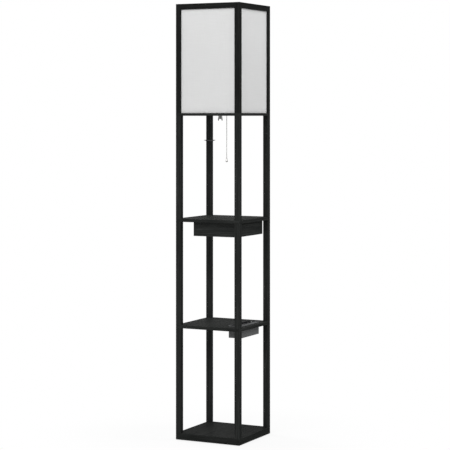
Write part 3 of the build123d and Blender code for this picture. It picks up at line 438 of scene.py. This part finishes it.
def evenly(low, high, count):
    """So many places from low to high, or the middle for one."""
    if count == 1:
        return [(low + high) / 2]
    return [low + (high - low) * step / (count - 1) for step in range(count)]


def as_modified(piece):
    """A new mesh of a piece, as its modifiers leave it."""
    shaped = piece.evaluated_get(bpy.context.evaluated_depsgraph_get())
    return bpy.data.meshes.new_from_object(shaped)


def cross_head_screws(name, node, counts, inward, length, head, body="frame"):
    """Flat-headed screws with a cross recess, so many along X, Y and Z, over their node's box."""
    low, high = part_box(node)
    face = low if sum(inward) > 0 else high
    lines = [
        [face[axis]] if inward[axis] else evenly(low[axis] + head, high[axis] - head, counts[axis])
        for axis in range(3)
    ]
    places = [Vector((x, y, z)) for x in lines[0] for y in lines[1] for z in lines[2]]
    shank = head / 2
    rim = head * 0.06
    arm_size = Matrix.Diagonal((head * 1.1, head * 0.2, head * 0.9, 1))
    screw_profile = [
        (0.0, 0.0),
        (head - rim, 0.0),
        (head, rim),
        (shank, head - shank),
        (shank, length - shank),
        (shank * 0.4, length),
        (0.0, length),
    ]
    points, faces = turned(screw_profile, sides=32)
    mesh = bpy.data.meshes.new(name)
    mesh.from_pydata([tuple(point) for point in points], [], faces)
    screw = bpy.data.objects.new(name, mesh)
    scene.collection.objects.link(screw)
    recess = bmesh.new()
    for quarter in (0, 1):
        arm = bmesh.ops.create_cube(recess, size=1.0)["verts"]
        crosswise = Matrix.Rotation(quarter * math.pi / 2, 4, "Z")
        bmesh.ops.transform(recess, matrix=crosswise @ arm_size, verts=arm)
    recess_mesh = bpy.data.meshes.new(name + "_recess")
    recess.to_mesh(recess_mesh)
    recess.free()
    cutter = bpy.data.objects.new(name + "_recess", recess_mesh)
    scene.collection.objects.link(cutter)
    cut = screw.modifiers.new("recess", "BOOLEAN")
    cut.operation = "DIFFERENCE"
    cut.object = cutter
    cut.use_self = True
    cut_mesh = as_modified(screw)
    points = [vertex.co.copy() for vertex in cut_mesh.vertices]
    faces = [list(face.vertices) for face in cut_mesh.polygons]
    bpy.data.objects.remove(screw)
    bpy.data.objects.remove(cutter)
    turn = Vector((0, 0, 1)).rotation_difference(Vector(inward)).to_matrix()
    one = [turn @ point for point in points], faces
    shapes = [moved(one, place) for place in places]
    return make_piece(name, shapes, zinc, body, [node], crease=30)


cross_head_screws(
    "base_bolt_set", "base_bolts", counts=(2, 2, 1), inward=(0, 0, 1), length=0.040, head=0.006
)

# ------------------------------------------------------------------ drawer
# A shallow box of the same foiled board, held at its corners by beech dowels and screws. It
# hangs between two black plastic runners that are screwed up under the shelf. Its front is
# plain, with no handle, and is pulled by its lower edge.
# The drawer's foil is a lighter copy of the shelves' foil: painted light.
drawer_painted_light = 1.16  # the lightness of the drawer's foil, as a share of the shelves'
dress(
    "drawer_front drawer_back",
    black_foil("black_foil_drawer_painted_light", along=0, ends=1, lightness=drawer_painted_light),
)
dress(
    "drawer_side_left drawer_side_right drawer_bottom",
    black_foil("black_foil_drawer_sides", along=1, ends=0, lightness=drawer_painted_light),
)
runner_plastic = moulded(
    "runner_plastic", (0.030, 0.030, 0.031), 0.42, texture=0.0012, depth=0.00003
)
beech, beech_tree, beech_shader = new_finish("beech_dowel")
beech_figure = stretched_noise(beech_tree, (600, 40, 600), detail=4.0, roughness=0.6)
beech_tone = shades(beech_tree, beech_figure, (0.3, (0.46, 0.30, 0.17)), (0.7, (0.66, 0.48, 0.31)))
beech_tree.links.new(beech_tone, beech_shader.inputs["Base Color"])
beech_shader.inputs["Roughness"].default_value = 0.6
relief(beech_tree, beech_shader, beech_figure, depth=0.00005)
dress("drawer_runner_left drawer_runner_right", runner_plastic)
dress("drawer_dowels frame_dowels", beech)
dress("drawer_stops", zinc)
cross_head_screws(
    "runner_screw_set",
    "runner_screws",
    counts=(2, 3, 1),
    inward=(0, 0, 1),
    length=0.011,
    head=0.003,
)
cross_head_screws(
    "drawer_screw_set",
    "drawer_screws",
    counts=(2, 1, 2),
    inward=(0, -1, 0),
    length=0.025,
    head=0.003,
    body="drawer",
)

# ------------------------------------------------------------------ charging station
# A grey moulded housing hangs under the middle shelf and a face plate covers its cut-out. The
# plate holds a black outlet insert and two steel USB shells with white tongues.
station_grey = moulded(
    "station_grey", (0.116, 0.118, 0.118), 0.60, texture=0.0006, depth=0.00004, specular=0.01
)
plate_grey = moulded(
    "plate_grey", (0.130, 0.132, 0.133), 0.50, texture=0.0006, depth=0.00003, specular=0.0
)
insert_black = moulded(
    "insert_black", (0.020, 0.020, 0.021), 0.40, texture=0.0005, depth=0.00002, specular=0.01
)
tongue_white = moulded("tongue_white", (0.80, 0.80, 0.78), 0.25, texture=0.001, depth=0.00001)
rubber = moulded(
    "black_rubber", (0.021, 0.021, 0.021), 0.72, texture=0.0003, depth=0.00004, specular=0.3
)
shell_steel = plated_metal("shell_steel", (0.66, 0.66, 0.66), 0.24, stretch=(300, 300, 2400))
dress("station_housing", station_grey)
dress("face_plate", plate_grey)
dress("outlet_insert", insert_black)
dress("usb_tongues", tongue_white)
dress("usb_shells", shell_steel)
dress("station_grommet inlet_bushing", rubber)

# The outlet and the ports lie in a black field, printed on the grey plate. The rim left round
# it is broadest along the front.
side_rim, front_rim, rear_rim = 0.004, 0.017, 0.003
plate_low, plate_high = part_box("face_plate")
field_low = plate_low + Vector((side_rim, front_rim, 0))
field_high = plate_high - Vector((side_rim, rear_rim, 0))
plate_tree = plate_grey.node_tree
plate_tone = plate_tree.nodes["Principled BSDF"].inputs["Base Color"]
rim_tone = plate_tone.links[0].from_socket
plate_place = put(plate_tree, "ShaderNodeTexCoord").outputs["Object"]
from_low = reckon(plate_tree, "SUBTRACT", plate_place, field_low, kind="ShaderNodeVectorMath")
to_high = reckon(plate_tree, "SUBTRACT", field_high, plate_place, kind="ShaderNodeVectorMath")
nearer = reckon(plate_tree, "MINIMUM", from_low, to_high, kind="ShaderNodeVectorMath")
to_field_edge = put(plate_tree, "ShaderNodeSeparateXYZ", Vector=nearer).outputs
inside = reckon(plate_tree, "MINIMUM", to_field_edge[0], to_field_edge[1])
on_field = reckon(plate_tree, "GREATER_THAN", inside, 0.0)
field_black = (0.012, 0.012, 0.013, 1)
plate_tree.links.new(blend_tones(plate_tree, on_field, rim_tone, field_black), plate_tone)

# The printed circuit board inside, with lacquered copper tracks, and the two steel screws that
# hold the face plate down.
board_finish, board_tree, board_shader = new_finish("lacquered_board")
tracks = put(
    board_tree,
    "ShaderNodeTexBrick",
    Vector=put(board_tree, "ShaderNodeTexCoord").outputs["Object"],
    Color1=(0.02, 0.16, 0.06, 1),
    Color2=(0.03, 0.20, 0.08, 1),
    Mortar=(0.06, 0.30, 0.14, 1),
    Scale=260.0,
    Mortar_Size=0.03,
)
board_tree.links.new(tracks.outputs["Color"], board_shader.inputs["Base Color"])
board_shader.inputs["Roughness"].default_value = 0.3
dress("circuit_board", board_finish)
cross_head_screws(
    "plate_screw_set",
    "plate_screws",
    counts=(2, 1, 1),
    inward=(0, 0, -1),
    length=0.020,
    head=0.003,
)

# ------------------------------------------------------------------ shade frame
# A flat foiled frame closes the posts under the shade, and four more posts and rails stand on
# it. Their foil is painted darker than the posts' below, as painted shade. The rails are cut
# square and dowelled between the posts.
# The shade frame's foil is a darker copy of the same black foil: painted shade.
shade_frame_painted_shade = 0.66  # the lightness of the shade frame's foil, as a share of the shelves'
side_rails_reach = 0.1125  # the side rails end nearer to the middle than this, along Y
dress("ring_long_rails", foil_across)
dress("ring_short_rails", foil_back)
dress(
    "shade_post_front_left shade_post_front_right shade_post_rear_left shade_post_rear_right",
    black_foil("black_foil_shade_frame_painted_shade", along=2, ends=0, lightness=shade_frame_painted_shade),
)
dress(
    "top_rails",
    black_foil(
        "black_foil_rails_painted_shade", along=0, ends=1, between=side_rails_reach, lightness=shade_frame_painted_shade
    ),
)

# ------------------------------------------------------------------ shade panels
# Off-white woven fabric, bonded to a stiff translucent sheet and slipped into the grooves, so
# it is almost flat. The yarns are a little uneven both ways, and light comes through.
yarn_width = 0.00075


def let_light_through(tree, shader, tone, share):
    """Passes a share of the light on through the surface."""
    through = put(tree, "ShaderNodeBsdfTranslucent", Color=tone)
    both = put(tree, "ShaderNodeMixShader", _0=share, _1=shader.outputs[0], _2=through.outputs[0])
    tree.links.new(both.outputs[0], tree.nodes["Material Output"].inputs["Surface"])


def woven_linen(name, across):
    """Plain-woven linen, with its level yarns along axis 0 or 1."""
    finish, tree, shader = new_finish(name)
    place = put(tree, "ShaderNodeTexCoord").outputs["Object"]
    # At this scale one wave is as wide as one yarn.
    yarns = [
        put(
            tree,
            "ShaderNodeTexWave",
            {"bands_direction": direction},
            Vector=place,
            Scale=2 * math.pi / (20 * yarn_width),
            Distortion=0.6,
            Detail=1.0,
            Detail_Scale=0.4,
        )
        for direction in ("XY"[across], "Z")
    ]
    weave = reckon(tree, "MAXIMUM", *(yarn.outputs["Fac"] for yarn in yarns))
    across_yarns, along_yarns = 1 / yarn_width, 22  # slubs to the metre
    uprights = (across_yarns, across_yarns, along_yarns)
    levels = (along_yarns, along_yarns, across_yarns)
    slubs = [
        stretched_noise(tree, stretch, detail=2.0, roughness=0.5) for stretch in (uprights, levels)
    ]
    tone = shades(
        tree,
        reckon(tree, "MULTIPLY", reckon(tree, "ADD", *slubs), 0.5),
        (0.36, (0.762, 0.761, 0.757)),
        (0.50, (0.786, 0.786, 0.783)),
        (0.64, (0.805, 0.805, 0.802)),
    )
    tree.links.new(tone, shader.inputs["Base Color"])
    shader.inputs["Roughness"].default_value = 0.9
    shader.inputs["Specular IOR Level"].default_value = 0.1
    shader.inputs["Sheen Weight"].default_value = 0.08
    relief(tree, shader, weave, depth=0.00012, strength=0.6)
    let_light_through(tree, shader, tone, share=0.30)
    return finish


linens = (woven_linen("woven_linen_front", across=0), woven_linen("woven_linen_side", across=1))
panel_columns, panel_rows = 26, 44
cloth_half = 0.0006
ripple_height = 0.00016
ripples = ((1.0, 7.1, 1.7), (0.7, 5.3, 2.3))  # size, turn and shift, across and then up
for side_number, side_name in enumerate(("front", "rear", "left", "right")):
    low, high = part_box(f"shade_panel_{side_name}")
    across = 0 if side_name in ("front", "rear") else 1
    through = 1 - across
    middle = (low[through] + high[through]) / 2
    outward = 1 if middle > 0 else -1
    points, faces = [], []
    for layer in (-1, 1):
        for row in range(panel_rows + 1):
            for column in range(panel_columns + 1):
                s, t = column / panel_columns, row / panel_rows
                # The grooves keep the cloth flat at its edges.
                free = math.sin(math.pi * s) ** 0.5 * math.sin(math.pi * t) ** 0.5
                ripple = sum(
                    size * math.sin(turn * way + shift * side_number)
                    for way, (size, turn, shift) in zip((s, t), ripples)
                )
                stands_out = outward * ripple_height * free * ripple
                point = Vector((0, 0, low.z + t * (high.z - low.z)))
                point[across] = low[across] + s * (high[across] - low[across])
                point[through] = middle + stands_out + layer * cloth_half
                points.append(point)
    width = panel_columns + 1
    layer_size = width * (panel_rows + 1)
    for row in range(panel_rows):
        for column in range(panel_columns):
            a = row * width + column
            faces.append([a, a + 1, a + width + 1, a + width])
            faces.append([layer_size + corner for corner in (a, a + width, a + width + 1, a + 1)])
    rim = list(range(width))
    rim += [row * width + panel_columns for row in range(1, panel_rows + 1)]
    rim += [panel_rows * width + column for column in range(panel_columns - 1, -1, -1)]
    rim += [row * width for row in range(panel_rows - 1, 0, -1)]
    for here, after in zip(rim, rim[1:] + rim[:1]):
        faces.append([here, after, layer_size + after, layer_size + here])
    panel = make_piece(
        f"linen_{side_name}",
        [(points, faces)],
        linens[across],
        body="frame",
        stands_for=[f"shade_panel_{side_name}"],
    )

# ------------------------------------------------------------------ socket
# A zinc-plated steel bar crosses the foot of the shade, screwed down at both ends. It carries
# the socket: a metal cap painted black, a moulded switch block with the pull chain's nickel
# guide, and a brass screw sleeve and centre contact.
bar_zinc = plated_metal("bar_zinc", (0.62, 0.63, 0.63), 0.38, stretch=(40, 1600, 1600))
socket_black = moulded("socket_black", (0.028, 0.028, 0.028), 0.38, texture=0.0007, depth=0.00002)
insulator = moulded(
    "socket_insulator", (0.040, 0.037, 0.034), 0.55, texture=0.0005, depth=0.00003
)
dress("socket_bar", bar_zinc)
dress("tube_nut", zinc)
dress("socket_cap", socket_black)
dress("switch_block", insulator)
dress("screw_sleeve centre_contact", brass)
dress("chain_guide", nickel)
cross_head_screws(
    "bar_screw_set", "bar_screws", counts=(2, 1, 1), inward=(0, 0, -1), length=0.009, head=0.003
)


# A hollow zinc-plated steel tube, threaded from end to end, passes through the bar. The
# hexagon nut and the wing nut on it clamp the socket and the bar together.
def thread_wall(radius, depth, pitch, low, high, sides, steps):
    """Points and faces of a screw-threaded wall about Z, so many steps to a turn of thread."""
    points, faces = [], []
    levels = round((high - low) / pitch * steps)
    for level in range(levels + 1):
        z = low + (high - low) * level / levels
        ends = min(1.0, (z - low) / pitch, (high - z) / pitch)
        for step in range(sides):
            turn = 2 * math.pi * step / sides
            wave = 0.5 - 0.5 * math.cos(2 * math.pi * (z / pitch - step / sides))
            reach = radius - depth * (1 - wave) * ends
            points.append(Vector((reach * math.cos(turn), reach * math.sin(turn), z)))
    for level in range(levels):
        start = level * sides
        for step in range(sides):
            here, after = start + step, start + (step + 1) % sides
            faces.append([here, after, after + sides, here + sides])
    return points, faces


tube_low, tube_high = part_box("threaded_tube")
socket_axis = Vector((0, (tube_low.y + tube_high.y) / 2, 0))
tube_sides = 32
tube_radius = (tube_high.x - tube_low.x) / 2
bore_radius = 0.0036
tube_thread = thread_wall(
    tube_radius,
    depth=0.00045,
    pitch=0.001,
    low=tube_low.z,
    high=tube_high.z,
    sides=tube_sides,
    steps=6,
)
bore = [
    (tube_radius, tube_high.z),
    (bore_radius, tube_high.z),
    (bore_radius, tube_low.z),
    (tube_radius, tube_low.z),
]
make_piece(
    "threaded_tube_cut",
    [moved(tube_thread, socket_axis), moved(turned(bore, tube_sides), socket_axis)],
    plated_metal("tube_zinc", (0.42, 0.42, 0.41), 0.26),
    body="frame",
    stands_for=["threaded_tube"],
    crease=50,
)

# The socket's outer shell is pressed from thin metal and painted black like the cap. It has two
# rolled beads, and a lip curled over at its mouth.
bead_levels = (0.0110, 0.0290)  # above the shell's foot
bead_half, bead_swell = 0.0010, 0.0007
lip_overhang, curl_radius = 0.0010, 0.0009
foot_round, shell_wall = 0.0003, 0.0009
shell_low, shell_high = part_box("socket_shell")
lip_radius = (shell_high.x - shell_low.x) / 2
shell_radius = lip_radius - lip_overhang
shell_inner = shell_radius - shell_wall
straight_top = shell_high.z - 0.0024
inner_top = shell_high.z - 0.0014
shell_profile = [
    (shell_inner, shell_low.z),
    (shell_radius - foot_round, shell_low.z),
    (shell_radius, shell_low.z + foot_round),
]
for bead_level in bead_levels:
    for degrees in range(0, 181, 30):
        turn = math.radians(degrees)
        level = shell_low.z + bead_level - bead_half * math.cos(turn)
        shell_profile.append((shell_radius + bead_swell * math.sin(turn), level))
shell_profile.append((shell_radius, straight_top))
for degrees in range(-60, 181, 30):
    turn = math.radians(degrees)
    reach = lip_radius - curl_radius + curl_radius * math.cos(turn)
    shell_profile.append((reach, shell_high.z - curl_radius + curl_radius * math.sin(turn)))
shell_profile += [(shell_inner, inner_top), (shell_inner, shell_low.z)]
make_piece(
    "socket_shell_pressed",
    [moved(turned(shell_profile, sides=64), socket_axis)],
    socket_black,
    body="frame",
    stands_for=["socket_shell"],
)


# The wing nut is cast and plated black: a ring round the tube, with two wings that lean out as
# they drop. It is screwed up under the bar from below.
def wing_shape(side, turn, top):
    """One wing as rings of points round its thickness, from the ring of the nut to its tip."""
    stations = (
        # below the nut's top, inner edge, outer edge, thickness
        (0.0020, 0.0055, 0.0063, 0.0030),
        (0.0090, 0.0053, 0.0067, 0.0032),
        (0.0160, 0.0053, 0.0076, 0.0032),
        (0.0205, 0.0053, 0.0083, 0.0031),
        (0.0218, 0.0053, 0.0084, 0.0031),
        (0.0232, 0.0043, 0.0084, 0.0030),
        (0.0256, 0.0046, 0.0084, 0.0028),
        (0.0272, 0.0052, 0.0081, 0.0026),
        (0.0283, 0.0060, 0.0074, 0.0020),
    )
    round_steps = 12
    squareness = 0.6  # of a section: 0 is oval and 1 is square
    points, faces = [], []
    spread = Vector((math.cos(turn), math.sin(turn), 0)) * side
    through = Vector((-math.sin(turn), math.cos(turn), 0))
    for drop, inner, outer, thickness in stations:
        for step in range(round_steps):
            angle = 2 * math.pi * step / round_steps
            reach, bulge = math.cos(angle), math.sin(angle)
            square = max(abs(reach), abs(bulge)) ** squareness
            out = (inner + outer) / 2 + (outer - inner) / 2 * reach / square
            aside = thickness / 2 * bulge / square
            points.append(spread * out + through * aside + Vector((0, 0, top - drop)))
    for station in range(len(stations) - 1):
        for step in range(round_steps):
            here = station * round_steps + step
            after = station * round_steps + (step + 1) % round_steps
            faces.append([here, after, after + round_steps, here + round_steps])
    last = (len(stations) - 1) * round_steps
    faces.append(list(range(round_steps)))
    faces.append(list(range(last, last + round_steps)))
    return points, faces


nut_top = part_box("wing_nut")[1].z
wing_turn = math.radians(-63.8)
nut_ring = [
    # radius, height from the nut's top
    (0.0054, -0.0001),
    (0.0060, -0.0001),
    (0.0065, -0.0007),
    (0.0064, -0.0085),
    (0.0059, -0.0099),
    (0.0054, -0.0099),
    (0.0054, -0.0001),
]
nut_ring = [(radius, nut_top + height) for radius, height in nut_ring]
nut_shapes = [turned(nut_ring, sides=40)]
nut_shapes += [wing_shape(side, wing_turn, nut_top) for side in (-1, 1)]
black_zinc = plated_metal(
    "black_zinc", (0.060, 0.060, 0.058), 0.40, stretch=(420, 420, 420), depth=0.00003
)
wing_nut = make_piece(
    "wing_nut_cast",
    [moved(shape, socket_axis) for shape in nut_shapes],
    black_zinc,
    body="frame",
    stands_for=["wing_nut"],
)
cast = wing_nut.modifiers.new("cast", "REMESH")
cast.mode = "VOXEL"
cast.voxel_size = 0.0004
soften = wing_nut.modifiers.new("soften", "SMOOTH")
soften.factor = 0.5
soften.iterations = 3
cast_mesh = as_modified(wing_nut)
cast_mesh.shade_smooth()
wing_nut.modifiers.clear()
wing_nut.data = cast_mesh

# ------------------------------------------------------------------ bulb
# A plain white lamp bulb, screwed into the socket: a rolled aluminium screw cap with a black
# glass insulator and a soldered tip, a white moulded body and a frosted dome.
cap_low, cap_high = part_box("bulb_cap")
cap_radius = (cap_high.x - cap_low.x) / 2
cap_sides = 64
thread_foot = cap_low.z + 0.0065
thread_top = cap_high.z - 0.003
cap_thread = thread_wall(
    cap_radius,
    depth=0.0010,
    pitch=0.0036,
    low=thread_foot,
    high=thread_top,
    sides=cap_sides,
    steps=10,
)
cap_brim = [(cap_radius, thread_top), (cap_radius, cap_high.z), (0.0, cap_high.z)]
cap_floor = [(0.0, thread_foot), (cap_radius, thread_foot)]
cap_shapes = [cap_thread, turned(cap_brim, cap_sides), turned(cap_floor, cap_sides)]
make_piece(
    "bulb_screw_cap",
    [moved(shape, socket_axis) for shape in cap_shapes],
    plated_metal("bulb_aluminium", (0.80, 0.80, 0.80), 0.22, stretch=(300, 300, 1200)),
    body="frame",
    stands_for=["bulb_cap"],
    crease=60,
)
tip_radius = 0.0045
glass_foot = cap_low.z + 0.002
foot_profile = [
    (0.0, glass_foot),
    (tip_radius, glass_foot),
    (0.0085, glass_foot + 0.0012),
    (0.0120, glass_foot + 0.0035),
    (0.0122, thread_foot),
    (0.0, thread_foot),
]
make_piece(
    "bulb_foot_glass",
    [moved(turned(foot_profile, sides=48), socket_axis)],
    moulded("black_glass", (0.012, 0.012, 0.013), 0.12, texture=0.004, depth=0.00001),
    body="frame",
)
tip_profile = [
    (0.0, cap_low.z),
    (0.0030, cap_low.z),
    (tip_radius, cap_low.z + 0.0010),
    (tip_radius, glass_foot),
    (0.0, glass_foot),
]
make_piece(
    "bulb_tip",
    [moved(turned(tip_profile, sides=32), socket_axis)],
    plated_metal("solder", (0.62, 0.62, 0.60), 0.35),
    body="frame",
)
bulb_white = moulded("bulb_white", (0.84, 0.84, 0.83), 0.45, texture=0.002, depth=0.00002)
dress("bulb_housing", bulb_white)
frosted, frosted_tree, frosted_shader = new_finish("frosted_dome")
frost = stretched_noise(frosted_tree, [1800] * 3, detail=2.0)
frost_tone = shades(frosted_tree, frost, (0.3, (0.90, 0.90, 0.88)), (0.7, (0.95, 0.95, 0.935)))
frosted_tree.links.new(frost_tone, frosted_shader.inputs["Base Color"])
frosted_shader.inputs["Roughness"].default_value = 0.35
let_light_through(frosted_tree, frosted_shader, frost_tone, share=0.4)
dress("bulb_globe", frosted)

# ------------------------------------------------------------------ cord cleat
# A thin dark plastic angle, stuck round the inner corner of the rear right post, with a
# tapered prong at each end.
cleat_grey = moulded(
    "cleat_grey", (0.048, 0.048, 0.048), 0.55, texture=0.0007, depth=0.00003, specular=0.25
)
dress("cord_cleat", cleat_grey)
